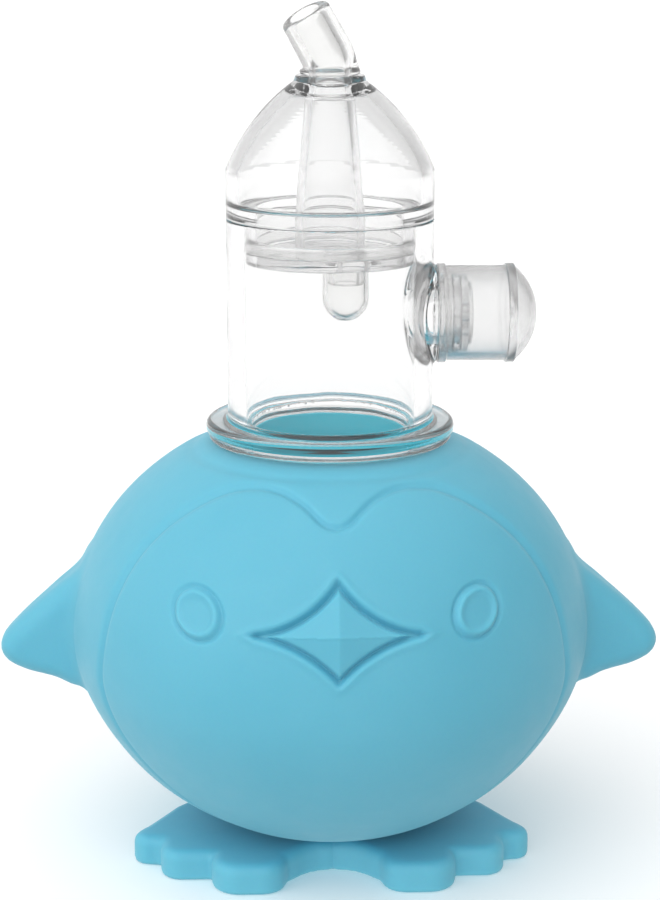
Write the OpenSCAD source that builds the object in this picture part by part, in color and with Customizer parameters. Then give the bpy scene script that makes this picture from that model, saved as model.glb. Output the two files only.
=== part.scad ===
// Nasal aspirator: a squeeze bulb on feet, a clear air chamber with a valved side port,
// and a clear dome with a soft bent tip. Millimetres, +Z up, the face looks along -Y,
// the side port along +X. The origin is on the floor, under the bulb's axis.

/* [Bulb] */
// Radius of the bulb at its widest
bulb_r = 33.8; // [32:0.2:36]
// Half of the bulb's height, before its flats are cut
bulb_half_h = 28.1; // [27.5:0.1:29]
// Wall thickness of the bulb
bulb_wall = 2.4; // [2:0.1:3]
// Height of the flat land around the neck, above the bulb's centre
land_rise = 25; // [24.6:0.1:25.4]
// Height of the thick wall around the neck hole
neck_wall_h = 5; // [4:0.5:6]
// How far the wing tips reach past the bulb
wing_reach = 9.8; // [7:0.2:11]
// Roundness of the wings
wing_r = 4; // [3.5:0.1:4.5]
// Height of the face details above the bulb
relief = 0.5; // [0.3:0.1:0.8]

/* [Feet] */
// Thickness of the foot plate
foot_h = 4; // [3:0.5:5]
// Distance of the front toes from the axis, along Y
foot_reach = 18.4; // [17:0.2:20]

/* [Chamber] */
// Outer radius of the chamber and of the dome
chamber_r = 13.2; // [13:0.1:13.8]
// Wall thickness of the chamber
chamber_wall = 2.3; // [2:0.1:2.4]
// Height of the chamber, from the flange's underside to its top edge
chamber_h = 27.8; // [26:0.2:32]
// Radius of the flange
flange_r = 16; // [15.5:0.1:17]
// Outer radius of the spigot in the neck
spigot_r = 11.2; // [11:0.1:11.4]

/* [Side port] */
// Height of the port's axis above the flange's underside
port_rise = 15.4; // [14:0.2:16]
// Outer radius of the cap
cap_r = 6.1; // [6:0.1:6.5]
// Wall thickness of the cap
cap_wall = 0.95; // [0.8:0.05:1]
// Lift of the outlet disc off its seat
disc_lift = 0.8; // [0.5:0.1:1]

/* [Dome and tip] */
// Height of the dome, from the chamber's top edge to the tip's base
dome_h = 17.8; // [17.2:0.2:18.4]
// Wall thickness of the dome
dome_wall = 1.6; // [1.2:0.1:1.8]
// Outer radius of the tip
tip_r = 3.2; // [3:0.1:3.4]
// Radius of the tip's passage
tip_bore_r = 1.9; // [1.6:0.1:2.1]
// Angle of the tip's bend
tip_bend = 31; // [25:1:36]
// Turn of the bend from -X towards the face
tip_turn = 22; // [0:1:40]

/* [Hidden] */
$fn = 72;

// Radial clearance of the fits that slide or turn
fit = 0.05;
// Overshoot of a cutter past the face it opens
over = 1;

// Levels, from the floor up
bottom_flat = 1.1;
bulb_z = foot_h + bulb_half_h - bottom_flat;
land_z = bulb_z + land_rise;
gasket_h = 0.6;
flange_z = land_z + gasket_h;
port_z = flange_z + port_rise;
seam_z = flange_z + chamber_h;
tip_z = seam_z + dome_h;

// Bulb: the stud of the foot plate sits in a blind socket in its bottom
floor_wall = 2.4;
stud_r = 4;
stud_h = 3.5;
bead_r = 4.6;
bead_h = 1.6;
boss_r = 8;
boss_h = stud_h + 3;

// Wings: each is wrapped around three balls, placed in X and above the bulb's centre
wing_fn = 32;
wing_top_r = wing_r + 0.6;
wing_top_x = bulb_r - 6.3;
wing_top_rise = 6.2;
wing_tip_x = bulb_r + wing_reach - wing_r;
wing_tip_rise = -3.4;
wing_low_x = bulb_r - 3.4;
wing_low_rise = -4.8;

// Face: the beak's corners and the eyes, above the bulb's centre. The beak's sides curve in by its sag
beak_w = 9.6;
beak_top = 13.9;
beak_mid = 8.2;
beak_low = 3.2;
beak_sag = 0.9;
eye_x = 16.6;
eye_rise = 9.7;
eye_r = 2.8;

// Feet: each has three toes that step back and outwards, and a web with a slanted back edge
toe_front_y = -foot_reach;
toe_front_in = 6;
toe_front_out = 15.6;
toe_mid_y = toe_front_y + 4.9;
toe_mid_out = 22.6;
toe_outer_y = toe_front_y + 9.6;
toe_outer_out = 26.1;
toe_back_y = -5;
toe_r = 2.2;
web_side = [19.8, 0.6];
web_back = [14, 6];
// The arch between the feet, and the round heel that starts just behind it
arch_y = toe_front_y + 1.1;
arch_r = 6;
heel_r = 13.3;
heel_y = arch_y + arch_r + 0.4 + heel_r;

// Neck: a sleeve around the spigot, and a flat gasket under the flange
seal_t = 0.8;
sleeve_in = spigot_r + fit;
sleeve_out = sleeve_in + seal_t;
neck_hole_r = sleeve_out + fit;
sleeve_drop = 4.6;
spigot_drop = 5.3;
spigot_wall = 1.2;
spigot_in = spigot_r - spigot_wall;
gasket_r = flange_r - 0.4;
gasket_round = 0.25;

// Chamber
flange_h = 1.9;
flange_round = 0.8;
chamber_in = chamber_r - chamber_wall;
floor_z = flange_z + flange_h;

// Side port, in its own frame: its axis is Z and the chamber's axis lies at zero
collar_end = 13.6;
collar_r = 6.3;
port_bore_r = 3;
cap_in = cap_r - cap_wall;
port_r = cap_in - 0.1;
port_end = 16.4;
seat_t = 1;
seat_r = port_r - 0.15;
seat_face = port_end + seat_t;
seat_plug_in = 2.3;
seat_plug_start = 15;
vent_r = 0.55;
vent_ring_r = 1.65;
vent_count = 6;
stem_r = 0.75;
disc_r = 4;
disc_t = 0.6;
stem_bead_r = 1.15;
stem_bead_t = 0.6;
ring_start = 14.3;
ring_t = 1.1;
ring_depth = 0.6;
cap_side_end = 23.5;
cap_tip = 26.5;
cap_band = 1.1;
cap_band_rise = 0.25;
cap_vent_r = 0.8;

// Dome
skirt_out = chamber_in - 0.2;
skirt_wall = 1.4;
skirt_in = skirt_out - skirt_wall;
skirt_drop = 5.4;
dome_seal_z = seam_z - 3.9;
dome_seal_h = 1.5;
dome_seal_t = 0.9;
// The dome's arc has its centre across the axis and a little under the seam
dome_arc_r = 25.65;
dome_arc_across = 10.5;
dome_arc_drop = 3.7;
shoulder_h = 1.5;
collar_top_r = 4.3;
collar_t = 0.8;
plug_hole_r = 2.9;
plug_h = 2.2;
tube_top_r = 3;
tube_low_r = 4.45;
tube_wall = 0.95;
tube_top_z = tip_z - plug_h;

// Valve plate and backflow valve
plate_t = 1.4;
plate_z = seam_z - skirt_drop;
plate_r = skirt_in - 0.02;
valve_x = 2;
valve_r = 2.95;
valve_wall = 0.6;
stub_r = valve_r - valve_wall - fit;
stub_bore_r = 1.45;
stub_h = 3;
valve_h = 7.8;
slit_w = 0.3;
slit_l = 3.4;

// Tip: a cone on the dome, a bend, and a straight stretch to the mouth
tip_base_r = 4.05;
tip_base_h = 0.6;
tip_bend_r = 4.2;
tip_straight = 5.6;
tip_rim_r = 0.6;
// The straight stretches nest in the bend with this lap, and this difference in radius
lap = 0.4;
nest = 0.05;

SILICONE_BLUE = "mediumturquoise";
CLEAR = [0.85, 0.93, 0.95, 0.35];
CLEAR_SOFT = [0.9, 0.93, 0.92, 0.45];

// ---- Shared shapes ----

// Everything in the side port and its cap is drawn on Z and laid along +X
module on_port() translate([0, 0, port_z]) rotate([0, 90, 0]) children();

// Profile of a flat ring: r1 and r2 are its radii, z1 and z2 its levels
module ring_profile(r1, r2, z1, z2) translate([r1, z1]) square([r2 - r1, z2 - z1]);

module ring(r1, r2, z1, z2) rotate_extrude() ring_profile(r1, r2, z1, z2);

// Profile of a ring whose outer corners are rounded
module round_ring_profile(r1, r2, z1, z2, round) {
    ring_profile(r1, r2 - round, z1, z2);
    ring_profile(r1, r2, z1 + round, z2 - round);
    for (z = [z1 + round, z2 - round])
        translate([r2 - round, z]) circle(round);
}

// The bulb's outer form, grown by some amount on every side, between two levels
module bulb_form(grow, z1, z2) {
    rotate_extrude() intersection() {
        translate([0, bulb_z]) scale([bulb_r + grow, bulb_half_h + grow]) circle(1);
        translate([0, z1]) square([2 * bulb_r, z2 - z1]);
    }
}

// An outline in X and Z, carried forward through the front of the bulb
module on_face() {
    translate([0, -bulb_r / 2, bulb_z]) rotate([90, 0, 0])
        linear_extrude(bulb_r) children();
}

// ---- Bulb and feet ----

module wing() {
    hull() {
        translate([wing_tip_x, 0, bulb_z + wing_tip_rise]) sphere(wing_r, $fn = wing_fn);
        translate([wing_top_x, 0, bulb_z + wing_top_rise]) sphere(wing_top_r, $fn = wing_fn);
        translate([wing_low_x, 0, bulb_z + wing_low_rise]) sphere(wing_r, $fn = wing_fn);
    }
}

// Cuts the circle that hollows the straight side between two corners
module hollow_side(p, q) {
    run = norm(q - p);
    r = run * run / (8 * beak_sag) + beak_sag / 2;
    out = [q[1] - p[1], p[0] - q[0]] / run;
    translate((p + q) / 2 + out * (r - beak_sag)) circle(r);
}

module beak_outline() {
    corners = [[beak_w, beak_mid], [0, beak_low], [-beak_w, beak_mid], [0, beak_top]];
    difference() {
        polygon(corners);
        for (i = [0 : 3]) hollow_side(corners[(i + 1) % 4], corners[i]);
    }
}

module face_relief() {
    intersection() {
        bulb_form(relief, bulb_z - bulb_half_h / 2, land_z);
        on_face() {
            beak_outline();
            for (side = [-1, 1]) translate([side * eye_x, eye_rise]) circle(eye_r);
        }
    }
}

// The stud and the bead that holds it, on the foot plate's top
module stud() {
    rotate_extrude() {
        ring_profile(0, stud_r, foot_h, foot_h + stud_h);
        ring_profile(0, bead_r, foot_h + stud_h - bead_h, foot_h + stud_h);
    }
}

module squeeze_bulb() color(SILICONE_BLUE) difference() {
    union() {
        bulb_form(0, foot_h, land_z);
        face_relief();
        wing();
        mirror([1, 0, 0]) wing();
    }
    difference() {
        bulb_form(-bulb_wall, foot_h + floor_wall, land_z - neck_wall_h);
        ring(0, boss_r, foot_h, foot_h + boss_h);
    }
    ring(0, neck_hole_r, bulb_z, land_z + over);
    stud();
}

// A toe from x1 to x2, with rounded front corners
module toe(x1, x2, front) {
    for (x = [x1 + toe_r, x2 - toe_r]) translate([x, front + toe_r]) circle(toe_r);
    translate([x1 + toe_r, front]) square([x2 - x1 - 2 * toe_r, toe_back_y - front]);
    translate([x1, front + toe_r]) square([x2 - x1, toe_back_y - front - toe_r]);
}

module foot_outline() {
    toe(toe_front_in, toe_front_out, toe_front_y);
    toe(toe_front_in, toe_mid_out, toe_mid_y);
    toe(toe_front_in, toe_outer_out, toe_outer_y);
    polygon([[0, toe_front_y + toe_r], [toe_front_in + toe_r, toe_front_y + toe_r],
        [toe_outer_out, toe_back_y], web_side, web_back, [0, web_back[1]]]);
}

module foot_base() color(SILICONE_BLUE) {
    linear_extrude(foot_h) {
        difference() {
            union() {
                foot_outline();
                mirror([1, 0]) foot_outline();
            }
            translate([0, arch_y]) circle(arch_r);
        }
        translate([0, heel_y]) circle(heel_r);
    }
    stud();
}

// ---- Neck and chamber ----

module neck_seal() color(SILICONE_BLUE) ring(sleeve_in, sleeve_out, land_z - sleeve_drop, flange_z);

module neck_gasket() color(CLEAR_SOFT) rotate_extrude()
    round_ring_profile(neck_hole_r, gasket_r, land_z, flange_z, gasket_round);

module chamber_body() color(CLEAR) difference() {
    union() {
        rotate_extrude() {
            ring_profile(spigot_in, spigot_r, land_z - spigot_drop, flange_z + over);
            round_ring_profile(spigot_in, flange_r, flange_z, floor_z, flange_round);
            ring_profile(chamber_in, chamber_r, flange_z, seam_z);
        }
        on_port() {
            ring(0, collar_r, chamber_in, collar_end);
            ring(0, port_r, chamber_in, port_end);
        }
    }
    ring(0, chamber_in, floor_z + over, seam_z - over);
    on_port() {
        ring(0, port_bore_r, chamber_in - over, port_end + over);
        ring(port_r - ring_depth, port_r + over, ring_start, ring_start + ring_t);
    }
}

// ---- Outlet valve and cap ----

module valve_seat() color(CLEAR) on_port() difference() {
    union() {
        ring(stem_r + fit, seat_r, port_end, seat_face);
        ring(seat_plug_in, port_bore_r, seat_plug_start, port_end + seat_t / 2);
    }
    for (i = [0 : vent_count - 1]) rotate(i * 360 / vent_count)
        translate([vent_ring_r, 0, port_end - over]) cylinder(r = vent_r, h = seat_t + 2 * over);
}

module exhaust_disc() color(CLEAR_SOFT) on_port() rotate_extrude() {
    ring_profile(0, disc_r, seat_face, seat_face + disc_t);
    ring_profile(0, stem_r, port_end - disc_lift - stem_bead_t, seat_face + disc_t);
    ring_profile(0, stem_bead_r, port_end - disc_lift - stem_bead_t, port_end - disc_lift);
}

module port_seal() color(CLEAR_SOFT) on_port()
    ring(port_r - ring_depth, cap_in - fit, ring_start, ring_start + ring_t);

// The cap's closed end is a shallow spherical dome
module cap_form(r, z1, z_side, z_tip) {
    rise = z_tip - z_side;
    dome_r = (r * r + rise * rise) / (2 * rise);
    rotate_extrude() {
        ring_profile(0, r, z1, z_side);
        intersection() {
            translate([0, z_tip - dome_r]) circle(dome_r);
            ring_profile(0, r, z_side - over, z_tip);
        }
    }
}

module port_cap() color(CLEAR) on_port() difference() {
    union() {
        cap_form(cap_r, collar_end, cap_side_end, cap_tip);
        ring(cap_in, cap_r + cap_band_rise, collar_end, collar_end + cap_band);
        ring(cap_in, cap_r + cap_band_rise, cap_side_end - cap_band, cap_side_end);
    }
    cap_form(cap_in, collar_end - over, cap_side_end - cap_wall, cap_tip - cap_wall);
    ring(0, cap_vent_r, cap_side_end, cap_tip + over);
}

// ---- Dome, valve plate and backflow valve ----

module dome_seal() color(CLEAR_SOFT)
    ring(chamber_in - fit - dome_seal_t, chamber_in - fit, dome_seal_z + fit,
        dome_seal_z + dome_seal_h - fit);

// Half of the dome's section, grown by some amount: a cylinder under an arc that ends at the tip
module dome_section(grow) {
    intersection() {
        ring_profile(0, chamber_r + grow, seam_z, tip_z);
        translate([-dome_arc_across, seam_z - dome_arc_drop]) circle(dome_arc_r + grow);
    }
}

module tube_section(inset) {
    polygon([[0, plate_z + plate_t], [tube_low_r - inset, plate_z + plate_t],
        [tube_low_r - inset, seam_z], [tube_top_r - inset, tube_top_z], [0, tube_top_z]]);
}

module nozzle_dome() color(CLEAR) rotate_extrude() difference() {
    union() {
        difference() {
            union() {
                dome_section(0);
                ring_profile(0, skirt_out, plate_z, seam_z + shoulder_h);
            }
            intersection() {
                dome_section(-dome_wall);
                ring_profile(0, chamber_r, seam_z + shoulder_h, tip_z - dome_wall);
            }
            ring_profile(0, skirt_in, plate_z - over, seam_z + shoulder_h + over);
            ring_profile(chamber_in - 2 * fit - dome_seal_t, chamber_r, dome_seal_z,
                dome_seal_z + dome_seal_h);
        }
        tube_section(0);
        ring_profile(0, collar_top_r, tube_top_z - collar_t, tip_z);
    }
    tube_section(tube_wall);
    ring_profile(0, plug_hole_r, tube_top_z, tip_z + over);
}

module valve_plate() color(CLEAR) difference() {
    union() {
        ring(0, plate_r, plate_z, plate_z + plate_t);
        translate([valve_x, 0, 0]) ring(0, stub_r, plate_z - stub_h, plate_z + plate_t / 2);
    }
    translate([valve_x, 0, 0]) ring(0, stub_bore_r, plate_z - stub_h - over, plate_z + plate_t + over);
}

module backflow_valve() color(CLEAR_SOFT) translate([valve_x, 0, plate_z]) difference() {
    rotate_extrude() difference() {
        nipple_profile(valve_r, valve_h);
        nipple_profile(valve_r - valve_wall, valve_h - valve_wall);
    }
    translate([0, 0, -valve_h]) cube([slit_l, slit_w, 4 * valve_wall], center = true);
}

// Half section of a closed tube that hangs from zero and ends in a half ball
module nipple_profile(r, length) {
    ring_profile(0, r, r - length, 0);
    intersection() {
        translate([0, r - length]) circle(r);
        ring_profile(0, r, -length, over - length + r);
    }
}

// ---- Tip ----

// Lays its children at the start of the tip's bend, which leans towards -X and the face
module at_bend() rotate(tip_turn) translate([-tip_bend_r, 0, tip_z + tip_base_h]) children();

// A bent rod around the tip's centre line, from a little inside its base to its straight end
module bend(r) at_bend() rotate([90, 0, 0]) rotate_extrude(angle = tip_bend)
    translate([tip_bend_r, 0]) circle(r);

// Lays its children at the end of the bend, with +Z out of the mouth
module at_mouth() at_bend() rotate([0, -tip_bend, 0]) translate([tip_bend_r, 0, 0]) children();

module nozzle_tip() color(CLEAR_SOFT) difference() {
    union() {
        rotate_extrude() {
            polygon([[0, tip_z], [tip_base_r, tip_z], [tip_r + 2 * nest, tip_z + tip_base_h + lap],
                [0, tip_z + tip_base_h + lap]]);
            ring_profile(0, plug_hole_r - fit, tip_z - plug_h, tip_z + lap);
        }
        bend(tip_r + nest);
        at_mouth() rotate_extrude()
            round_ring_profile(0, tip_r, -lap, tip_straight, tip_rim_r);
    }
    bend(tip_bore_r - nest);
    at_mouth() ring(0, tip_bore_r, -lap, tip_straight + over);
    ring(0, tip_bore_r, tip_z - plug_h - over, tip_z + tip_base_h + lap);
}

squeeze_bulb();
foot_base();
neck_seal();
neck_gasket();
chamber_body();
valve_seat();
exhaust_disc();
port_seal();
port_cap();
dome_seal();
nozzle_dome();
valve_plate();
backflow_valve();
nozzle_tip();
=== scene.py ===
"""Looks of the nasal aspirator: a silicone penguin bulb under a clear valved chamber, dome and tip."""

import math

import bmesh
import bpy
import numpy as np
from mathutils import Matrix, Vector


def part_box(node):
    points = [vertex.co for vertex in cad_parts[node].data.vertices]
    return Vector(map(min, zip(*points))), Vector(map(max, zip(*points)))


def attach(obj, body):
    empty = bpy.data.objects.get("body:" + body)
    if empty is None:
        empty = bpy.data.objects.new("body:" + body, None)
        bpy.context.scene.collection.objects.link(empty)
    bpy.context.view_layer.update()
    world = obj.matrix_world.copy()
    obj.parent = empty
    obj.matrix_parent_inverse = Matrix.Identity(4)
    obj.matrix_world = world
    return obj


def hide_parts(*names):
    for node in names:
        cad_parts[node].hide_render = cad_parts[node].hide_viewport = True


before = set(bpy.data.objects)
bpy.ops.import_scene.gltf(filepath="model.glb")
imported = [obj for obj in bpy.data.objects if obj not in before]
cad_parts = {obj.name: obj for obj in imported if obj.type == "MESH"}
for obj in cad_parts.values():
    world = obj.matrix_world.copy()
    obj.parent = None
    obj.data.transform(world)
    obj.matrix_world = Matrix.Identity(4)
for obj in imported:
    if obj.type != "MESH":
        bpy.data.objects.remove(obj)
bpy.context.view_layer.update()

import openvdb
from mathutils import Vector

# Shapes are worked out in millimetres, in the frame's own axes, and become metres in add_mesh.
MM = 0.001


def node_box(name):
    """Lowest and highest corner of a CAD node, in millimetres."""
    low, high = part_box(name)
    return np.array(low) / MM, np.array(high) / MM


# ---- Dimensions, from the frame ----

BULB_LOW, BULB_HIGH = node_box("squeeze_bulb")
FOOT_LOW, FOOT_HIGH = node_box("foot_base")
SEAL_LOW, SEAL_HIGH = node_box("neck_seal")
CHAMBER_LOW, CHAMBER_HIGH = node_box("chamber_body")
SEAT_LOW, SEAT_HIGH = node_box("valve_seat")
DISC_LOW, DISC_HIGH = node_box("exhaust_disc")
RING_LOW, RING_HIGH = node_box("port_seal")
CAP_LOW, CAP_HIGH = node_box("port_cap")
DOME_SEAL_LOW, DOME_SEAL_HIGH = node_box("dome_seal")
DOME_LOW, DOME_HIGH = node_box("nozzle_dome")
PLATE_LOW, PLATE_HIGH = node_box("valve_plate")
NIPPLE_LOW, NIPPLE_HIGH = node_box("backflow_valve")
TIP_LOW = node_box("nozzle_tip")[0]

FOOT_TOP = BULB_LOW[2]
LAND_Z = BULB_HIGH[2]
FLANGE_Z = SEAL_HIGH[2]
SEAM_Z = CHAMBER_HIGH[2]
TIP_Z = DOME_HIGH[2]
PORT_Z = (CAP_LOW[2] + CAP_HIGH[2]) / 2
BULB_R = BULB_HIGH[1]
BULB_HALF_H = 28.1
BULB_Z = FOOT_TOP + 27.0
BULB_WALL = 2.4
FLANGE_R = -CHAMBER_LOW[0]
FLANGE_T = 1.9
CHAMBER_R = DOME_HIGH[1]
CHAMBER_IN = CHAMBER_R - 2.3
SPIGOT_R = 11.2
SPIGOT_IN = SPIGOT_R - 1.2
# Clear parts that meet stay this far apart, so that each keeps its own surface
AIR = 0.04
# The inner radius that makes a ring a full disc
FULL = -20


# ---- Shape functions: signed distances in millimetres, negative inside ----

def smooth_min(a, b, k):
    h = np.clip(0.5 + 0.5 * (b - a) / k, 0, 1)
    return b * (1 - h) + a * h - k * h * (1 - h)


def smooth_max(a, b, k):
    return -smooth_min(-a, -b, k)


def smooth_step(low, high, x):
    t = np.clip((x - low) / (high - low), 0, 1)
    return t * t * (3 - 2 * t)


def radius_of(p):
    return np.hypot(p[:, 0], p[:, 1])


def spheroid(p, centre_z, r, half_h):
    """An ellipsoid of revolution about the Z axis."""
    z = p[:, 2] - centre_z
    rho = radius_of(p)
    q = np.sqrt((rho / r) ** 2 + (z / half_h) ** 2)
    slope = np.sqrt((rho / r ** 2) ** 2 + (z / half_h ** 2) ** 2)
    return q * (q - 1) / np.maximum(slope, 1e-6)


def band(u, v, u1, u2, v1, v2, corner=0.0):
    """A rectangle in the two coordinates u and v, with rounded corners."""
    du = np.abs(u - (u1 + u2) / 2) - (u2 - u1) / 2 + corner
    dv = np.abs(v - (v1 + v2) / 2) - (v2 - v1) / 2 + corner
    outside = np.hypot(np.maximum(du, 0), np.maximum(dv, 0))
    return outside + np.minimum(np.maximum(du, dv), 0) - corner


def ring(p, r1, r2, z1, z2, corner=0.0):
    """A ring about the Z axis, or a full disc where r1 is FULL."""
    return band(radius_of(p), p[:, 2], r1, r2, z1, z2, corner)


def on_port(p):
    """The side port's own coordinates: its axis becomes Z, and the chamber's axis lies at zero."""
    return np.column_stack([p[:, 1], p[:, 2] - PORT_Z, p[:, 0]])


def segment_distance(x, z, points):
    """Distance in a plane from (x, z) to a closed loop of points, negative inside it."""
    best = np.full(len(x), 1e9)
    inside = np.zeros(len(x), bool)
    for (x1, z1), (x2, z2) in zip(points, np.roll(points, -1, axis=0)):
        dx, dz = x2 - x1, z2 - z1
        t = np.clip(((x - x1) * dx + (z - z1) * dz) / (dx * dx + dz * dz), 0, 1)
        best = np.minimum(best, np.hypot(x - x1 - t * dx, z - z1 - t * dz))
        crosses = (z1 > z) != (z2 > z)
        inside ^= crosses & (x < x1 + (z - z1) * dx / (dz if dz else 1e-9))
    return np.where(inside, -best, best)


def curve_through(points, steps=8):
    """A smooth closed curve through given points (Catmull-Rom)."""
    pts = np.array(points, float)
    t = np.linspace(0, 1, steps, endpoint=False)[:, None]
    out = []
    for i in range(len(pts)):
        a, b, c, d = (pts[(i + k) % len(pts)] for k in (-1, 0, 1, 2))
        out.append(b + 0.5 * t * (c - a + t * (2 * a - 5 * b + 4 * c - d + t * (3 * (b - c) + d - a))))
    return np.vstack(out)


def mirrored(points):
    """A closed outline from its half at positive x, listed from its top to its bottom."""
    return list(points) + [(-x, z) for x, z in reversed(points) if abs(x) > 1e-6]


# ---- Mesh makers ----

def gradient(shape, p, step=0.02):
    g = np.empty_like(p)
    for axis in range(3):
        d = np.zeros(3)
        d[axis] = step
        g[:, axis] = (shape(p + d) - shape(p - d)) / (2 * step)
    return g


def settle(shape, p, cell, rounds=3):
    """Moves points onto the shape's surface along its gradient."""
    for _ in range(rounds):
        g = gradient(shape, p)
        length = np.maximum(np.linalg.norm(g, axis=1), 0.2)
        move = np.clip(shape(p) / length, -cell, cell)
        p = p - g * (move / length)[:, None]
    return p


def even_out(shape, p, quads, cell):
    """One round of smoothing within the surface, so that the quads are even."""
    total, count = np.zeros_like(p), np.zeros(len(p))
    for a, b in ((0, 1), (1, 2), (2, 3), (3, 0)):
        for i, j in ((a, b), (b, a)):
            np.add.at(total, quads[:, i], p[quads[:, j]])
            np.add.at(count, quads[:, i], 1)
    return settle(shape, 0.5 * p + 0.5 * total / count[:, None], cell, 2)


def skin(shape, low, high, cell):
    """Vertices and quads of a shape's surface, on a grid of the given cell."""
    cell = cell * 1
    low, high = np.array(low) - 3 * cell, np.array(high) + 3 * cell
    counts = np.ceil((high - low) / cell).astype(int)
    axes = [low[i] + cell * np.arange(counts[i]) for i in range(3)]
    values = np.empty(counts, np.float32)
    for i, x in enumerate(axes[0]):
        y, z = np.meshgrid(axes[1], axes[2], indexing="ij")
        p = np.column_stack([np.full(y.size, x), y.ravel(), z.ravel()])
        values[i] = shape(p).reshape(y.shape)
    grid = openvdb.FloatGrid(3 * cell)
    grid.copyFromArray(values)
    grid.transform = openvdb.createLinearTransform(voxelSize=cell)
    points, quads = grid.convertToQuads(isovalue=0.0)
    p = settle(shape, points.astype(float) + low, cell)
    for _ in range(2):
        p = even_out(shape, p, quads, cell)
    normal = np.cross(p[quads[:, 2]] - p[quads[:, 0]], p[quads[:, 3]] - p[quads[:, 1]])
    if np.sum(normal * gradient(shape, p[quads[:, 0]])) < 0:
        quads = quads[:, ::-1]
    return p, quads


# Length of the short piece that keeps a fillet's shading off the straight beside it
EDGE_LOOP = 0.12


def rounded(corners, step=1.2):
    """A closed outline of (r, z, fillet radius) corners as points, with arcs for the fillets."""
    pts = [np.array(c[:2], float) for c in corners]
    out = []
    for i, c in enumerate(corners):
        here, before, after = pts[i], pts[i - 1], pts[(i + 1) % len(pts)]
        to_a, to_b = before - here, after - here
        la, lb = np.linalg.norm(to_a), np.linalg.norm(to_b)
        to_a, to_b = to_a / la, to_b / lb
        half = math.acos(np.clip(to_a @ to_b, -1, 1)) / 2
        fillet = c[2] if len(c) > 2 else 0
        if fillet <= 0 or half > math.radians(88):
            out.append(here)
            continue
        reach = min(fillet / math.tan(half), 0.49 * la, 0.49 * lb)
        radius = reach * math.tan(half)
        middle = (to_a + to_b) / np.linalg.norm(to_a + to_b)
        centre = here + middle * radius / math.sin(half)
        start, end = here + to_a * reach - centre, here + to_b * reach - centre
        turn = math.pi - 2 * half
        n = max(3, round(turn / math.radians(15)))
        for k in range(n + 1):
            t = k / n
            between = math.sin((1 - t) * turn) * start + math.sin(t * turn) * end
            out.append(centre + between / math.sin(turn))
    return subdivide(np.array(out), step)


def subdivide(points, step):
    """Splits a closed outline's long straights, with a short piece next to each end."""
    out = []
    for a, b in zip(points, np.roll(points, -1, axis=0)):
        out.append(a)
        length = np.linalg.norm(b - a)
        if length > 2.5 * EDGE_LOOP:
            inner = length - 2 * EDGE_LOOP
            n = max(1, round(inner / step))
            out += [a + (b - a) * (EDGE_LOOP + inner * k / n) / length for k in range(n + 1)]
    return np.array(out)


def arc(centre, r, start, end, n):
    """Points on a circle in the (r, z) plane, from one angle in degrees to another."""
    return [(centre[0] + r * math.cos(math.radians(a)), centre[1] + r * math.sin(math.radians(a)))
            for a in np.linspace(start, end, n)]


# Steps around a small turned piece, and the radius at which one on the axis is closed
SMALL_TURN = 96
NEAR_AXIS = 0.001


def lathe(outline, around=160):
    """Vertices and quads of a closed outline turned about the Z axis."""
    n = len(outline)
    angle = 2 * math.pi * np.arange(around) / around
    p = np.empty((around, n, 3))
    p[..., 0] = np.cos(angle)[:, None] * outline[None, :, 0]
    p[..., 1] = np.sin(angle)[:, None] * outline[None, :, 0]
    p[..., 2] = outline[None, :, 1]
    i, j = np.meshgrid(np.arange(around), np.arange(n), indexing="ij")
    i2, j2 = (i + 1) % around, (j + 1) % n
    quads = np.stack([i * n + j, i2 * n + j, i2 * n + j2, i * n + j2], -1).reshape(-1, 4)
    area = np.sum(outline[:, 0] * np.roll(outline[:, 1], -1) - np.roll(outline[:, 0], -1) * outline[:, 1])
    return p.reshape(-1, 3), quads if area > 0 else quads[:, ::-1]


def lay_on_port(p):
    """Turns points about the Z axis into the side port's place."""
    return np.column_stack([p[:, 2], p[:, 0], p[:, 1] + PORT_Z])


def add_mesh(name, p, faces, material, body, node, normals=None):
    """Makes the piece, lets it stand for its CAD node and ride on its body."""
    mesh = bpy.data.meshes.new(name)
    mesh.from_pydata((p * MM).tolist(), [], faces.tolist() if hasattr(faces, "tolist") else faces)
    mesh.shade_smooth()
    if normals is not None:
        length = np.linalg.norm(normals, axis=1, keepdims=True)
        mesh.normals_split_custom_set_from_vertices((normals / np.maximum(length, 1e-9)).tolist())
    mesh.materials.append(material)
    piece = bpy.data.objects.new(name, mesh)
    bpy.context.scene.collection.objects.link(piece)
    # Only the bulb and the feet cast shadows, so light reaches the neck sleeve and what lies behind the clear parts
    piece.visible_shadow = material in (BLUE, FOOT_BLUE_PAINTED_LIGHT)
    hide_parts(node)
    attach(piece, body)
    return piece


def add_shape(name, shape, low, high, cell, material, body, node):
    p, quads = skin(shape, low, high, cell)
    return add_mesh(name, p, quads, material, body, node, gradient(shape, p))


# ---- Materials ----

def new_material(name):
    """A material with its shader, and a node maker."""
    material = bpy.data.materials.new(name)
    material.use_nodes = True
    tree = material.node_tree
    shader = tree.nodes["Principled BSDF"]

    def node(kind, **inputs):
        made = tree.nodes.new(kind)
        for key, value in inputs.items():
            made.inputs[key.replace("_", " ")].default_value = value
        return made

    return material, tree, shader, node


def noise_bump(tree, shader, node, scale, distance, detail=3.0, strength=1.0, previous=None):
    """Adds a noise relief, in object space, to the shader's normal."""
    place = node("ShaderNodeTexCoord")
    noise = node("ShaderNodeTexNoise", Scale=scale, Detail=detail, Roughness=0.55)
    bump = node("ShaderNodeBump", Strength=strength, Distance=distance)
    tree.links.new(place.outputs["Object"], noise.inputs["Vector"])
    tree.links.new(noise.outputs["Fac"], bump.inputs["Height"])
    if previous is not None:
        tree.links.new(previous.outputs["Normal"], bump.inputs["Normal"])
    tree.links.new(bump.outputs["Normal"], shader.inputs["Normal"])
    return bump


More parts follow.
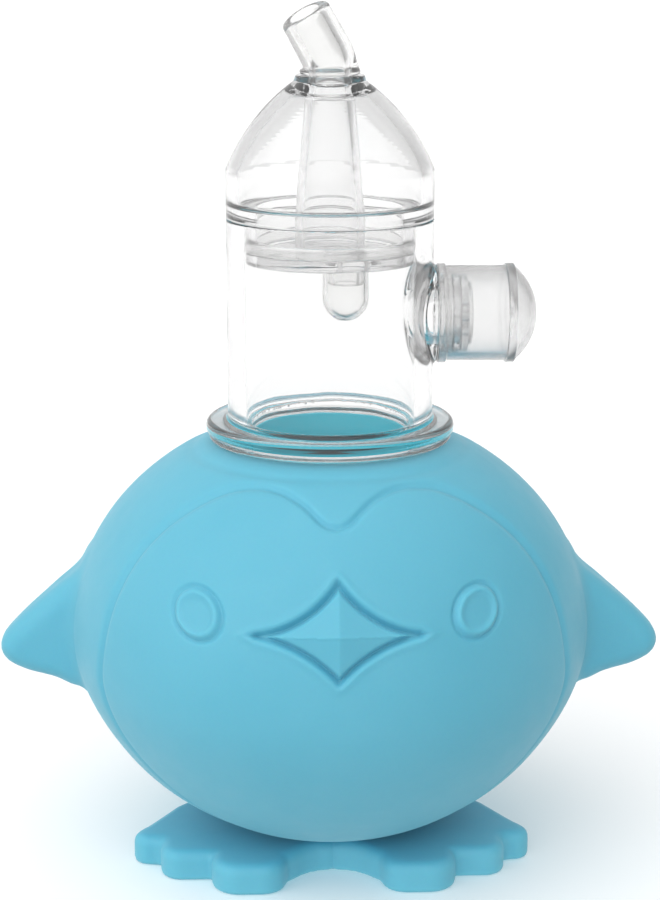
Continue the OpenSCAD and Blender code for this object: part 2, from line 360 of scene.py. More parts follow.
def noise_range(tree, shader, node, socket, scale, low, high):
    """Lets a number vary over the surface between low and high."""
    place = node("ShaderNodeTexCoord")
    noise = node("ShaderNodeTexNoise", Scale=scale, Detail=4.0)
    spread = node("ShaderNodeMapRange", From_Min=0.3, From_Max=0.7, To_Min=low, To_Max=high)
    tree.links.new(place.outputs["Object"], noise.inputs["Vector"])
    tree.links.new(noise.outputs["Fac"], spread.inputs["Value"])
    tree.links.new(spread.outputs["Result"], shader.inputs[socket])


def blue_silicone(name, low, high, glow=0.0):
    """Matt silicone, a little cloudy between two colours, with a fine grain, and with a painted glow where glow is
    given.
    """
    material, tree, shader, node = new_material(name)
    place = node("ShaderNodeTexCoord")
    cloud = node("ShaderNodeTexNoise", Scale=60.0, Detail=3.0)
    speck = node("ShaderNodeTexNoise", Scale=2200.0, Detail=2.0)
    tint = node("ShaderNodeValToRGB")
    tint.color_ramp.elements[0].position = 0.35
    tint.color_ramp.elements[0].color = low
    tint.color_ramp.elements[1].position = 0.65
    tint.color_ramp.elements[1].color = high
    fine = node("ShaderNodeMix")
    fine.data_type = "RGBA"
    fine.blend_type = "SOFT_LIGHT"
    fine.inputs["Factor"].default_value = 0.06
    for source in (cloud, speck):
        tree.links.new(place.outputs["Object"], source.inputs["Vector"])
    tree.links.new(cloud.outputs["Fac"], tint.inputs["Fac"])
    tree.links.new(tint.outputs["Color"], fine.inputs["A"])
    tree.links.new(speck.outputs["Color"], fine.inputs["B"])
    tree.links.new(fine.outputs["Result"], shader.inputs["Base Color"])
    shader.inputs["Subsurface Weight"].default_value = 0.35
    shader.inputs["Subsurface Radius"].default_value = (0.6, 1.0, 1.0)
    shader.inputs["Subsurface Scale"].default_value = 0.0018
    shader.inputs["IOR"].default_value = 1.41
    shader.inputs["Specular IOR Level"].default_value = 0.6
    shader.inputs["Sheen Weight"].default_value = 0.1
    shader.inputs["Sheen Roughness"].default_value = 0.5
    if glow:
        # Painted glow, half as bright at the sleeve's lower end as near the land: painted shade deeper in the neck
        split = node("ShaderNodeSeparateXYZ")
        deeper = node("ShaderNodeMapRange", From_Min=SEAL_LOW[2] * MM, From_Max=(LAND_Z - 1) * MM,
                      To_Min=0.5 * glow, To_Max=glow)
        tree.links.new(place.outputs["Object"], split.inputs[0])
        tree.links.new(split.outputs["Z"], deeper.inputs["Value"])
        tree.links.new(deeper.outputs["Result"], shader.inputs["Emission Strength"])
        shader.inputs["Emission Color"].default_value = low
    noise_range(tree, shader, node, "Roughness", 350.0, 0.5, 0.6)
    grain = noise_bump(tree, shader, node, 2600.0, 0.00002, detail=2.0, strength=0.35)
    noise_bump(tree, shader, node, 90.0, 0.0002, strength=0.12, previous=grain)
    return material


# Clear parts reflect less than bare plastic, so that the neck's colour shows through
CLEAR_REFLECTION = 0.4


def clear_material(name, ior, clearness, rough_low, rough_high, wave, tint):
    """A see-through material whose surface has slight waves and uneven haze."""
    material, tree, shader, node = new_material(name)
    shader.inputs["Base Color"].default_value = tint
    shader.inputs["Transmission Weight"].default_value = clearness
    shader.inputs["IOR"].default_value = ior
    shader.inputs["Specular Tint"].default_value = (CLEAR_REFLECTION, CLEAR_REFLECTION, CLEAR_REFLECTION, 1)
    noise_range(tree, shader, node, "Roughness", 220.0, rough_low, rough_high)
    noise_bump(tree, shader, node, 110.0, wave, detail=2.0, strength=0.3)
    return material


# ---- The bulb ----

NECK_R = SPIGOT_R + 0.9
NECK_WALL = 5.0
# The bulb's lower half draws in a little more than a spheroid
LOWER_SLIM = 0.021
# The blind boss inside the bulb's bottom, and the foot plate's stud that it holds
BOSS_R = 8.0
BOSS_H = 6.5
STUD_R = 4.0
STUD_H = 3.5
STUD_BEAD_R = 4.6
STUD_BEAD_LOW = 1.9


def body_skin(p):
    """The bulb's outer form without its wings: a spheroid with a flat land around the neck."""
    slim = 1 - LOWER_SLIM * smooth_step(-0.1, -0.55, (p[:, 2] - BULB_Z) / BULB_HALF_H)
    body = spheroid(p / np.column_stack((slim, slim, np.ones(len(p)))), BULB_Z, BULB_R, BULB_HALF_H)
    body = smooth_max(body, p[:, 2] - LAND_Z, 1.6)
    return smooth_max(body, FOOT_TOP - p[:, 2], 0.8)


WING_PLAN = [(30.4, 40.5), (32.6, 38.9), (35.6, 36.6), (41.0, 31.8), (43.3, 28.8), (42.8, 26.4), (40.2, 24.9),
             (36.3, 24.0), (33.0, 22.9), (26.0, 23.0), (25.0, 36.0)]
WING_LOOP = curve_through(WING_PLAN)
WING_ROUND = 2.4
WING_ROOT_X, WING_TIP_X = 28, 43
WING_ROOT_T, WING_TIP_T = 5.0, 3.0
WING_BLEND = 1.5


def wings(p):
    """Both wings: the plan's loop, thinner towards the tips and rounded all around."""
    x, y, z = np.abs(p[:, 0]), p[:, 1], p[:, 2]
    plan = segment_distance(x, z, WING_LOOP) + WING_ROUND
    thick = WING_ROOT_T + (WING_TIP_T - WING_ROOT_T) * smooth_step(WING_ROOT_X, WING_TIP_X, x)
    side = np.abs(y) - (thick - WING_ROUND)
    outside = np.hypot(np.maximum(plan, 0), np.maximum(side, 0))
    return outside + np.minimum(np.maximum(plan, side), 0) - WING_ROUND


def bulb_outer(p):
    return smooth_min(body_skin(p), wings(p), WING_BLEND)


def bulb_inner(p):
    hollow = spheroid(p, BULB_Z, BULB_R - BULB_WALL, BULB_HALF_H - BULB_WALL)
    hollow = smooth_max(hollow, p[:, 2] - (LAND_Z - NECK_WALL), 1.5)
    hollow = smooth_max(hollow, FOOT_TOP + BULB_WALL - p[:, 2], 1.0)
    boss = ring(p, FULL, BOSS_R, FOOT_TOP - 5, FOOT_TOP + BOSS_H, 1.0)
    hollow = smooth_max(hollow, -boss, 1.0)
    neck = ring(p, FULL, NECK_R, BULB_Z, LAND_Z + 10)
    return smooth_min(hollow, neck, 0.8)


def stud(p, clear=0.0):
    """The foot plate's stud and its bead, which sit in the bulb's bottom."""
    top = FOOT_TOP + STUD_H + clear
    rod = ring(p, FULL, STUD_R + clear, FOOT_TOP - 3, top, 0.3)
    bead = ring(p, FULL, STUD_BEAD_R + clear, FOOT_TOP + STUD_BEAD_LOW - clear, top, 0.3)
    return np.minimum(rod, bead)


def bulb_shape(p):
    solid = smooth_max(bulb_outer(p), -bulb_inner(p), 0.8)
    return smooth_max(solid, -stud(p, 0.03), 0.2)


# Face details, in X and in height above the bulb's centre
BEAK_W, BEAK_TOP, BEAK_MID, BEAK_LOW, BEAK_SAG = 9.6, 13.9, 8.2, 3.3, 1.0
EYE_X, EYE_Z, EYE_R = 16.6, 9.7, 2.9
MASK_HALF = [(0, 19.5), (1.6, 19.9), (4.0, 21.6), (6.6, 22.6), (9.6, 22.8), (13.4, 22.0), (17.6, 19.9),
             (21.6, 16.9), (25.0, 12.9), (27.6, 7.6), (29.0, 1.4), (29.0, -3.6), (26.6, -9.6), (22.2, -15.2),
             (15.8, -20.4), (8.0, -23.8), (0, -24.8)]
MASK_LOOP = curve_through(mirrored(MASK_HALF))
# Heights of the relief: steps and rims stand up, grooves go down
MASK_STEP, MASK_GROOVE = 0.2, 0.45
BEAK_SLOPE, BEAK_GROOVE, BEAK_RIM = 0.38, 0.95, 0.16
EYE_STEP, EYE_GROOVE, EYE_RIM = 0.1, 0.32, 0.3
# A soft crease runs around the collar
CREASE_R = 18.0
CREASE_DEPTH = 0.25


def beak_distance(x, z):
    """Distance to the beak's outline, a four-pointed star with hollow sides."""
    x = np.abs(x)
    out = np.full(len(x), -1e9)
    for top, sign in ((BEAK_TOP, 1), (BEAK_LOW, -1)):
        a, b = np.array([BEAK_W, BEAK_MID]), np.array([0, top])
        run = np.linalg.norm(b - a)
        r = run * run / (8 * BEAK_SAG) + BEAK_SAG / 2
        normal = np.array([abs(b[1] - a[1]), sign * BEAK_W]) / run
        centre = (a + b) / 2 + normal * (r - BEAK_SAG)
        chord = (x - a[0]) * normal[0] + (z - a[1]) * normal[1]
        hollow = r - np.hypot(x - centre[0], z - centre[1])
        half = np.maximum(hollow, chord)
        out = np.where((z - BEAK_MID) * sign >= 0, half, out)
    return out


def eye_distance(x, z):
    return np.hypot(np.abs(x) - EYE_X, z - EYE_Z) - EYE_R


def mask_distance(x, z):
    return segment_distance(x, z, MASK_LOOP)


def groove(d, half_width):
    """A soft line along the zero of a distance, one high."""
    return np.exp(-(d / half_width) ** 2)


def face_height(x, z):
    """Height of the moulded face above the bulb's skin."""
    mask, beak, eye = mask_distance(x, z), beak_distance(x, z), eye_distance(x, z)
    height = MASK_STEP * smooth_step(0.1, -0.9, mask) - MASK_GROOVE * groove(mask, 0.34)
    height += np.where(beak < 0, BEAK_SLOPE * np.minimum(-beak, 5), 0) - BEAK_GROOVE * groove(beak, 0.34)
    height += BEAK_RIM * groove(beak - 0.85, 0.4)
    height += EYE_STEP * smooth_step(0, -0.6, eye) + EYE_RIM * groove(eye + 0.7, 0.4)
    return height - EYE_GROOVE * groove(eye, 0.3)


def refine(p, quads, near, levels):
    """Splits the faces whose middle lies near a detail, once for each level's distance."""
    bm = bmesh.new()
    verts = [bm.verts.new(v) for v in p]
    for q in quads:
        bm.faces.new([verts[i] for i in q])
    for reach in levels:
        bm.faces.ensure_lookup_table()
        middles = np.array([f.calc_center_median() for f in bm.faces])
        chosen = np.flatnonzero(near(middles) < reach)
        edges = {e for i in chosen for e in bm.faces[i].edges}
        bmesh.ops.subdivide_edges(bm, edges=list(edges), cuts=1, use_grid_fill=True)
    bm.verts.index_update()
    bm.faces.ensure_lookup_table()
    points = np.array([v.co for v in bm.verts])
    faces = [[v.index for v in f.verts] for f in bm.faces]
    bm.free()
    return points, faces


def near_face(p):
    """Distance to the nearest line of the face, on the front of the bulb."""
    x, z = p[:, 0], p[:, 2] - BULB_Z
    beak = beak_distance(x, z)
    lines = np.minimum(np.abs(mask_distance(x, z)), np.abs(beak))
    lines = np.minimum(lines, np.abs(eye_distance(x, z) + 0.4))
    ridge = np.minimum(np.abs(x), np.abs(z - BEAK_MID))
    lines = np.minimum(lines, np.where(beak < 0, ridge, 1e9))
    front = (p[:, 1] < -3) & (bulb_inner(p) > BULB_WALL / 2)
    return np.where(front, lines, 1e9)


def squeeze_bulb(material):
    low = [BULB_LOW[0], -BULB_R, FOOT_TOP]
    high = [BULB_HIGH[0], BULB_R, LAND_Z]
    p, quads = skin(bulb_shape, low, high, 0.6)
    p, faces = refine(p, quads, near_face, ((1.5, 0.9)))
    p = settle(bulb_shape, p, 0.6, 2)
    # The face is pushed up or down along the skin's normal, on the outside of the front only
    push = gradient(bulb_shape, p)
    push /= np.maximum(np.linalg.norm(push, axis=1, keepdims=True), 1e-6)
    front = smooth_step(-4, -9, p[:, 1]) * (bulb_inner(p) > BULB_WALL / 2)
    crease = CREASE_DEPTH * groove(radius_of(p) - CREASE_R, 0.8) * (p[:, 2] > LAND_Z - 3)
    height = face_height(p[:, 0], p[:, 2] - BULB_Z) * front - crease
    p = p + push * height[:, None]
    return add_mesh("penguin_bulb", p, faces, material, "bulb", "squeeze_bulb")


# ---- The feet ----

# Each toe reaches outwards to X and forwards to Y, with its front corners' radius
TOES = [(15.7, -18.4, 3.6), (22.4, -13.7, 2.8), (26.1, -8.9, 2.2)]
TOE_IN = 5.8
TOE_BACK = -5.0
TOE_BLEND = 0.9
# The web between the toes, from the front round to the back
WEB = [(0, -13.5), (8.5, -15.5), (20.0, -11.5), (25.4, -6.4), (25.2, -5.2), (23.8, -2.9), (21.0, 2.0),
       (17.8, 5.6), (12.0, 8.4), (0, 10.0)]
ARCH_Y = -17.3
ARCH_R = 6.0
HEEL_Y = 2.4
HEEL_R = 13.3


def toe_plan(x, y, reach, front, r):
    """Distance to a toe in plan, a rectangle with rounded corners."""
    across = np.abs(x - (reach + TOE_IN) / 2) - (reach - TOE_IN) / 2 + r
    along = np.abs(y - (TOE_BACK + front) / 2) - (TOE_BACK - front) / 2 + r
    outside = np.hypot(np.maximum(across, 0), np.maximum(along, 0))
    return outside + np.minimum(np.maximum(across, along), 0) - r


def foot_plan(p):
    x, y = np.abs(p[:, 0]), p[:, 1]
    plan = segment_distance(x, y, np.array(WEB, float))
    for reach, front, r in TOES:
        plan = smooth_min(plan, toe_plan(x, y, reach, front, r), TOE_BLEND)
    plan = smooth_max(plan, ARCH_R - np.hypot(x, y - ARCH_Y), 1.2)
    return smooth_min(plan, np.hypot(x, y - HEEL_Y) - HEEL_R, 1.0)


def foot_shape(p):
    plate = smooth_max(foot_plan(p), p[:, 2] - FOOT_TOP, 1.5)
    plate = smooth_max(plate, -p[:, 2], 0.7)
    return smooth_min(plate, stud(p), 0.2)


def foot_base(material):
    low = [FOOT_LOW[0], FOOT_LOW[1], 0]
    return add_shape("penguin_feet", foot_shape, low, FOOT_HIGH, 0.45, material,
                     "bulb", "foot_base")


# ---- Collar and chamber ----

# The soft sleeve is pressed against the clear spigot, so no air shows between them
PRESSED = 0.02


def neck_seal(material):
    sleeve = SPIGOT_R - PRESSED
    outline = rounded([
        (sleeve, SEAL_LOW[2], 0.3), (NECK_R - AIR, SEAL_LOW[2], 0.4),
        (NECK_R - AIR, FLANGE_Z + PRESSED, 0.1), (sleeve, FLANGE_Z + PRESSED, 0.05)])
    p, quads = lathe(outline)
    return add_mesh("neck_sleeve", p, quads, material, "collar", "neck_seal")


def neck_gasket(material):
    rim = FLANGE_R - 0.4
    outline = rounded([
        (NECK_R + AIR, LAND_Z + AIR, 0.1), (rim, LAND_Z + AIR, 0.25),
        (rim, FLANGE_Z - AIR, 0.25), (NECK_R + AIR, FLANGE_Z - AIR, 0.1)])
    p, quads = lathe(outline)
    return add_mesh("neck_gasket", p, quads, material, "collar", "neck_gasket")


PORT_R = 5.05
PORT_BORE = 3.0
PORT_END = CHAMBER_HIGH[0]
COLLAR_R = 6.3
FLANGE_BLEND = 0.7
PORT_BLEND = 0.5


def chamber_shape(p):
    wall = ring(p, CHAMBER_IN - 4, CHAMBER_R, FLANGE_Z, SEAM_Z - AIR, 0.1)
    flange = ring(p, SPIGOT_R - 4, FLANGE_R, FLANGE_Z, FLANGE_Z + FLANGE_T, 0.75)
    spigot = ring(p, SPIGOT_R - 4, SPIGOT_R, CHAMBER_LOW[2], FLANGE_Z + 1, 0.3)
    solid = smooth_min(smooth_min(wall, flange, FLANGE_BLEND), spigot, 0.3)
    q = on_port(p)
    collar = ring(q, FULL, COLLAR_R, 5, CAP_LOW[0] - AIR, 0.3)
    tube = ring(q, FULL, PORT_R, 5, PORT_END, 0.25)
    solid = smooth_min(solid, np.minimum(collar, tube), PORT_BLEND)
    groove_cut = ring(q, PORT_R - 0.6, PORT_R + 5, RING_LOW[0], RING_HIGH[0], 0.1)
    room = ring(p, FULL, CHAMBER_IN, FLANGE_Z + FLANGE_T, SEAM_Z + 5)
    hollow = smooth_min(room, radius_of(p) - SPIGOT_IN, 0.15)
    hollow = smooth_min(hollow, ring(q, FULL, PORT_BORE, 5, PORT_END + 5), 0.4)
    solid = smooth_max(solid, -hollow, 0.3)
    return smooth_max(solid, -groove_cut, 0.1)


def chamber_body(material):
    high = [PORT_END, FLANGE_R, SEAM_Z]
    return add_shape("clear_chamber", chamber_shape, CHAMBER_LOW, high, 0.3, material,
                     "chamber", "chamber_body")


# ---- Outlet valve and cap ----

VENTS = 6
VENT_RING_R = 1.65
VENT_R = 0.55
GUIDE_R = 0.8
DISC_R = 4.0
STEM_R = 0.75
BEAD_R = 1.15
BEAD_L = 0.6


def seat_shape(p):
    q = on_port(p)
    disc = ring(q, GUIDE_R, PORT_R - 0.15, PORT_END + AIR, SEAT_HIGH[0], 0.12)
    plug = ring(q, 2.3, PORT_BORE - 0.02, SEAT_LOW[0], PORT_END + 0.5, 0.12)
    solid = np.minimum(disc, plug)
    for k in range(VENTS):
        a = math.radians(360 / VENTS * k)
        x, y = VENT_RING_R * math.cos(a), VENT_RING_R * math.sin(a)
        vent = np.hypot(q[:, 0] - x, q[:, 1] - y) - VENT_R
        solid = smooth_max(solid, -vent, 0.1)
    return solid


def valve_seat(material):
    return add_shape("outlet_seat", seat_shape, SEAT_LOW, SEAT_HIGH, 0.14, material,
                     "chamber", "valve_seat")


def exhaust_disc(material):
    face = SEAT_HIGH[0] + AIR
    bead_end = DISC_LOW[0] + BEAD_L
    outline = rounded([
        (NEAR_AXIS, DISC_LOW[0]), (BEAD_R, DISC_LOW[0], 0.2), (BEAD_R, bead_end, 0.15),
        (STEM_R, bead_end, 0.1), (STEM_R, face, 0.1), (DISC_R, face, 0.1),
        (DISC_R, DISC_HIGH[0], 0.25), (NEAR_AXIS, DISC_HIGH[0])])
    p, quads = lathe(outline, SMALL_TURN)
    return add_mesh("outlet_disc", lay_on_port(p), quads, material,
                    "outlet_disc", "exhaust_disc")


def port_seal(material):
    inner, outer = PORT_R - 0.58, RING_HIGH[2] - PORT_Z
    start, end = RING_LOW[0] + 0.03, RING_HIGH[0] - 0.03
    outline = rounded([(inner, start, 0.25), (outer, start, 0.4), (outer, end, 0.4), (inner, end, 0.25)])
    p, quads = lathe(outline, SMALL_TURN)
    return add_mesh("port_ring", lay_on_port(p), quads, material, "chamber", "port_seal")


CAP_R = 6.1
CAP_WALL = 0.95
CAP_BAND = 1.1
CAP_SIDE_END = 23.5
CAP_VENT_R = 0.8


def dome_arc(r, z_side, z_tip, hole):
    """Points of a shallow spherical end, from its side to its hole."""
    rise = z_tip - z_side
    big = (r * r + rise * rise) / (2 * rise)
    start, end = math.acos(r / big), math.acos(hole / big)
    angles = np.linspace(start, end, 14)
    return [(big * math.cos(a), z_tip - big + big * math.sin(a)) for a in angles]


def port_cap(material):
    start, tip, band_r = CAP_LOW[0], CAP_HIGH[0], CAP_HIGH[1]
    inner = CAP_R - CAP_WALL
    outer_end = dome_arc(CAP_R, CAP_SIDE_END, tip, CAP_VENT_R)
    inner_end = dome_arc(inner, CAP_SIDE_END - CAP_WALL, tip - CAP_WALL, CAP_VENT_R)
    corners = [
        (inner, start, 0.15), (band_r, start, 0.25), (band_r, start + CAP_BAND, 0.25),
        (CAP_R, start + CAP_BAND, 0.2), (CAP_R, CAP_SIDE_END - CAP_BAND, 0.2),
        (band_r, CAP_SIDE_END - CAP_BAND, 0.25), (band_r, CAP_SIDE_END, 0.25)]
    corners += [(*outer_end[0], 0.15)] + outer_end[1:-1] + [(*outer_end[-1], 0.15)]
    corners += [(*inner_end[-1], 0.15)] + inner_end[-2:0:-1] + [(*inner_end[0], 0.4)]
    p, quads = lathe(rounded(corners), 128)
    return add_mesh("outlet_cap", lay_on_port(p), quads, material, "cap", "port_cap")


# ---- Dome, valve plate and backflow valve ----

SKIRT_OUT = CHAMBER_IN - 0.2
SKIRT_IN = SKIRT_OUT - 1.4
SKIRT_Z = DOME_LOW[2]
DOME_WALL = 1.6
DOME_ARC = (-10.5, SEAM_Z - 3.7)
DOME_ARC_R = 25.65
TUBE_TOP = TIP_Z - 2.2
TUBE_WALL = 0.95
TUBE_TOP_R = 3.0
TUBE_LOW_R = 4.45
PLUG_HOLE_R = 2.9
COLLAR_TOP_R = 4.3


def dome_seal(material):
    inner, outer = DOME_SEAL_HIGH[0] - 0.9, DOME_SEAL_HIGH[0]
    outline = rounded([
        (inner, DOME_SEAL_LOW[2], 0.2), (outer, DOME_SEAL_LOW[2], 0.35),
        (outer, DOME_SEAL_HIGH[2], 0.35), (inner, DOME_SEAL_HIGH[2], 0.2)])
    p, quads = lathe(outline)
    return add_mesh("dome_ring", p, quads, material, "dome_ring", "dome_seal")


def arc_between(radius, r_low, r_high, n):
    """Points of the dome's arc from one distance off the axis to another."""
    cx = DOME_ARC[0]
    a1, a2 = math.acos((r_low - cx) / radius), math.acos((r_high - cx) / radius)
    return arc(DOME_ARC, radius, math.degrees(a1), math.degrees(a2), n)


def nozzle_dome(material):
    inner_r = CHAMBER_R - DOME_WALL
    shoulder = SEAM_Z + 1.5
    outer = arc_between(DOME_ARC_R, CHAMBER_R, COLLAR_TOP_R + 0.3, 26)
    inner = arc_between(DOME_ARC_R - DOME_WALL, inner_r, COLLAR_TOP_R, 20)
    groove_low, groove_high = DOME_SEAL_LOW[2] - 0.05, DOME_SEAL_HIGH[2] + 0.05
    groove_r = CHAMBER_IN - 1.0
    seam = SEAM_Z + AIR
    corners = [(CHAMBER_R, seam, 0.1), (*outer[0], 1.5)] + outer[1:]
    tube_in, tube_end, roof = TUBE_LOW_R - TUBE_WALL, PLATE_HIGH[2] + AIR, TUBE_TOP - 0.9
    corners += [
        (COLLAR_TOP_R, TIP_Z, 0.2), (PLUG_HOLE_R, TIP_Z, 0.15), (PLUG_HOLE_R, TUBE_TOP, 0.1),
        (TUBE_TOP_R - TUBE_WALL, TUBE_TOP, 0.15), (tube_in, SEAM_Z), (tube_in, tube_end, 0.2),
        (TUBE_LOW_R, tube_end, 0.2), (TUBE_LOW_R, SEAM_Z), (TUBE_TOP_R + 0.1, roof, 0.3),
        (inner[-1][0], roof, 0.3)]
    corners += inner[-2:0:-1]
    corners += [
        (inner_r, inner[0][1], 1.2), (inner_r, shoulder, 0.8), (SKIRT_IN, shoulder, 0.2),
        (SKIRT_IN, SKIRT_Z, 0.15), (SKIRT_OUT, SKIRT_Z, 0.3), (SKIRT_OUT, groove_low, 0.1),
        (groove_r, groove_low, 0.1), (groove_r, groove_high, 0.1), (SKIRT_OUT, groove_high, 0.1),
        (SKIRT_OUT, seam, 0.2)]
    p, quads = lathe(rounded(corners))
    return add_mesh("clear_dome", p, quads, material, "dome", "nozzle_dome")


VALVE_X = (NIPPLE_LOW[0] + NIPPLE_HIGH[0]) / 2
NIPPLE_R = NIPPLE_HIGH[1]
NIPPLE_WALL = 0.6
STUB_R = NIPPLE_R - NIPPLE_WALL - 0.05
STUB_BORE_R = 1.45
SLIT_HALF_T, SLIT_HALF_W, SLIT_H = 0.15, 1.7, 1.2


def plate_shape(p):
    q = p - np.array([VALVE_X, 0, 0])
    disc = ring(p, FULL, SKIRT_IN - 0.04, SKIRT_Z + 0.02, PLATE_HIGH[2], 0.25)
    stub = ring(q, FULL, STUB_R, PLATE_LOW[2], PLATE_HIGH[2] - 0.3, 0.25)
    bore = radius_of(q) - STUB_BORE_R
    return smooth_max(smooth_min(disc, stub, 0.25), -bore, 0.25)


def valve_plate(material):
    return add_shape("valve_plate_clear", plate_shape, PLATE_LOW, PLATE_HIGH, 0.2, material,
                     "dome", "valve_plate")


def nipple_shape(p):
    q = p - np.array([VALVE_X, 0, 0])
    rho, z = radius_of(q), p[:, 2]
    centre = NIPPLE_LOW[2] + NIPPLE_R
    ball = np.hypot(rho, np.minimum(z - centre, 0))
    outer = smooth_max(ball - NIPPLE_R, z - (SKIRT_Z - AIR), 0.2)
    hollow = ball - (NIPPLE_R - NIPPLE_WALL)
    slit = np.maximum(np.abs(q[:, 1]) - SLIT_HALF_T, np.abs(q[:, 0]) - SLIT_HALF_W)
    slit = np.maximum(slit, z - NIPPLE_LOW[2] - SLIT_H)
    return smooth_max(smooth_max(outer, -hollow, 0.15), -slit, 0.05)


def backflow_valve(material):
    return add_shape("nipple_valve", nipple_shape, NIPPLE_LOW, NIPPLE_HIGH, 0.15, material,
                     "nipple", "backflow_valve")


# ---- Tip ----

TIP_BEND_START = TIP_Z + 0.6
TIP_BEND_R = 4.2
TIP_BEND = math.radians(31)
TIP_TURN = math.radians(22)
TIP_STRAIGHT = 5.6
TIP_R = 3.2
TIP_BORE = 1.9
TIP_ROOT_R = 3.4
TIP_RIM_R = 4.05


def bend_tip(p):
    """Bends points about the straight tip onto its centre line, which leans towards -X and the face."""
    s = p[:, 2] - TIP_BEND_START
    angle = np.clip(s / TIP_BEND_R, 0, TIP_BEND)
    past = np.maximum(s - TIP_BEND_R * TIP_BEND, 0)
    below = np.minimum(s, 0)
    cosine, sine = np.cos(TIP_TURN), np.sin(TIP_TURN)
    lean = p[:, 0] * cosine + p[:, 1] * sine
    side = -p[:, 0] * sine + p[:, 1] * cosine
    reach = TIP_BEND_R * (1 - np.cos(angle)) + past * np.sin(angle) - lean * np.cos(angle)
    height = TIP_BEND_R * np.sin(angle) + past * np.cos(angle) + lean * np.sin(angle) + below
    lean = -reach
    return np.column_stack([lean * cosine - side * sine, lean * sine + side * cosine,
                            TIP_BEND_START + height])


def nozzle_tip(material):
    mouth = TIP_BEND_START + TIP_BEND_R * TIP_BEND + TIP_STRAIGHT
    plug_r = PLUG_HOLE_R - 0.05
    outline = rounded([
        (TIP_BORE, TIP_LOW[2] + AIR, 0.2), (plug_r, TIP_LOW[2] + AIR, 0.3), (plug_r, TIP_Z + AIR, 0.1),
        (TIP_RIM_R, TIP_Z + AIR, 0.4), (TIP_ROOT_R, TIP_BEND_START + 0.6, 1.2), (TIP_R, mouth, 0.6),
        (TIP_BORE, mouth, 0.35)], 0.5)
    p, quads = lathe(outline, SMALL_TURN)
    return add_mesh("soft_tip", bend_tip(p), quads, material, "tip", "nozzle_tip")


# ---- Stage, light and camera ----

AIM = Vector((0, 0, 54 * MM))
CAMERA_PITCH = math.radians(14)
CAMERA_TURN = math.radians(-1.9)
CAMERA_DISTANCE = 0.280
CAMERA_LENS = 86.2
FLOOR_SIZE = 40.0
# The floor's own light, which keeps it white where it is seen through the clear parts
FLOOR_GLOW = 0.07


def make_camera():
    data = bpy.data.cameras.new("camera")
    data.lens = CAMERA_LENS
    data.clip_start = 0.01
    camera = bpy.data.objects.new("camera", data)
    back = Vector((math.sin(CAMERA_TURN) * math.cos(CAMERA_PITCH),
                   -math.cos(CAMERA_TURN) * math.cos(CAMERA_PITCH), math.sin(CAMERA_PITCH)))
    camera.location = AIM + back * CAMERA_DISTANCE
    camera.rotation_euler = (-back).to_track_quat("-Z", "Y").to_euler()
    bpy.context.scene.collection.objects.link(camera)
    bpy.context.scene.camera = camera


def make_floor():
    mesh = bpy.data.meshes.new("floor")
    half = FLOOR_SIZE / 2
    corners = [(-half, -half, 0), (half, -half, 0), (half, half, 0), (-half, half, 0)]
    mesh.from_pydata(corners, [], [(0, 1, 2, 3)])
    material = bpy.data.materials.new("floor")
    material.use_nodes = True
    shader = material.node_tree.nodes["Principled BSDF"]
    shader.inputs["Base Color"].default_value = (0.93, 0.93, 0.93, 1)
    shader.inputs["Roughness"].default_value = 0.8
    shader.inputs["Emission Color"].default_value = (1, 1, 1, 1)
    shader.inputs["Emission Strength"].default_value = FLOOR_GLOW
    mesh.materials.append(material)
    floor = bpy.data.objects.new("floor", mesh)
    bpy.context.scene.collection.objects.link(floor)
    # The white floor doesn't light the bulb from below
    floor.visible_diffuse = False


# The light: an even surround, brighter from below, with one large soft glow above the front left
SURROUND_LOW = 1.08
SURROUND_HIGH = 0.8
GLOW = 1.3
GLOW_SIDE = (-0.35, -0.62, 0.7)
GLOW_EDGE = 0.45
SHADE_RIGHT = -0.35
# A view through the chamber, the dome and the valves crosses many surfaces
CLEAR_BOUNCES = 32


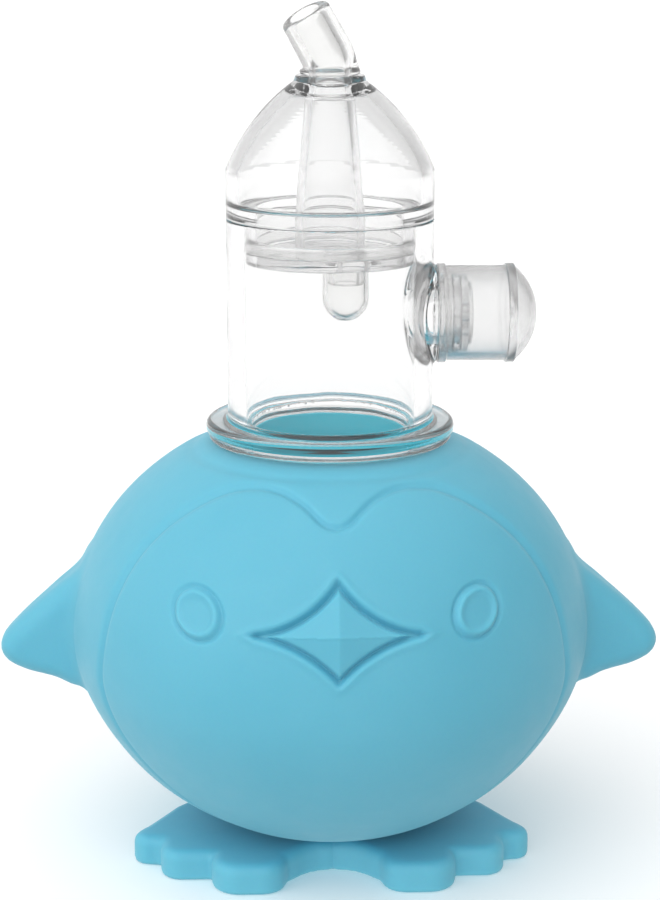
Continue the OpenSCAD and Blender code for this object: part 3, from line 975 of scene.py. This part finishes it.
def make_light():
    world = bpy.data.worlds.new("studio")
    world.use_nodes = True
    tree = world.node_tree
    background = tree.nodes["Background"]
    place = tree.nodes.new("ShaderNodeTexCoord")
    facing = tree.nodes.new("ShaderNodeVectorMath")
    facing.operation = "DOT_PRODUCT"
    facing.inputs[1].default_value = Vector(GLOW_SIDE).normalized()
    split = tree.nodes.new("ShaderNodeSeparateXYZ")
    tree.links.new(place.outputs["Generated"], facing.inputs[0])
    tree.links.new(place.outputs["Generated"], split.inputs[0])
    fades = ((split.outputs["Z"], -0.1, 0.1, SURROUND_LOW, SURROUND_HIGH),
             (split.outputs["X"], 0.35, 1.0, 0.0, SHADE_RIGHT),
             (facing.outputs["Value"], GLOW_EDGE, 1.0, 0.0, GLOW))
    total = None
    for source, start, end, low, high in fades:
        fade = tree.nodes.new("ShaderNodeMapRange")
        fade.interpolation_type = "SMOOTHSTEP"
        fade.inputs["From Min"].default_value = start
        fade.inputs["From Max"].default_value = end
        fade.inputs["To Min"].default_value = low
        fade.inputs["To Max"].default_value = high
        tree.links.new(source, fade.inputs["Value"])
        added = tree.nodes.new("ShaderNodeMath")
        tree.links.new(fade.outputs["Result"], added.inputs[0])
        added.inputs[1].default_value = 0.0
        if total is not None:
            tree.links.new(total, added.inputs[1])
        total = added.outputs["Value"]
    tree.links.new(total, background.inputs["Strength"])
    background.inputs["Color"].default_value = (1, 1, 1, 1)
    bpy.context.scene.world = world
    bpy.context.scene.view_settings.view_transform = "Standard"
    cycles = bpy.context.scene.cycles
    cycles.max_bounces = CLEAR_BOUNCES
    cycles.transmission_bounces = CLEAR_BOUNCES
    cycles.caustics_refractive = False
    cycles.caustics_reflective = False


# ---- Everything ----

BLUE = blue_silicone("blue_silicone", (0.105, 0.435, 0.575, 1), (0.115, 0.45, 0.59, 1))
# The feet are a separate moulding; their colour, paler than the bulb's, is painted light that makes them look more
# brightly lit
FOOT_BLUE_PAINTED_LIGHT = blue_silicone("blue_silicone_feet_painted_light", (0.12, 0.475, 0.62, 1), (0.13, 0.49, 0.635, 1))
# The neck sleeve glows with painted light, tinted by its deeper colour, which stands in for the light that reaches
# it through the clear chamber
NECK_BLUE_PAINTED_GLOW = blue_silicone("blue_silicone_neck_painted_glow", (0.006, 0.36, 0.46, 1), (0.01, 0.38, 0.48, 1), glow=0.6)
CLEAR = clear_material("clear_plastic", 1.49, 0.97, 0.0, 0.03, 0.0002, (0.96, 0.96, 0.96, 1))
SATIN = clear_material("clear_plastic_satin", 1.49, 0.92, 0.12, 0.22, 0.0003, (0.91, 0.91, 0.91, 1))
SOFT = clear_material("clear_silicone", 1.41, 0.92, 0.08, 0.16, 0.0003, (0.985, 0.985, 0.98, 1))

squeeze_bulb(BLUE)
foot_base(FOOT_BLUE_PAINTED_LIGHT)
neck_seal(NECK_BLUE_PAINTED_GLOW)
neck_gasket(SOFT)
chamber_body(CLEAR)
valve_seat(SATIN)
exhaust_disc(SOFT)
port_seal(SOFT)
port_cap(SATIN)
dome_seal(SOFT)
nozzle_dome(CLEAR)
valve_plate(CLEAR)
backflow_valve(SOFT)
nozzle_tip(SOFT)
make_floor()
make_light()
make_camera()
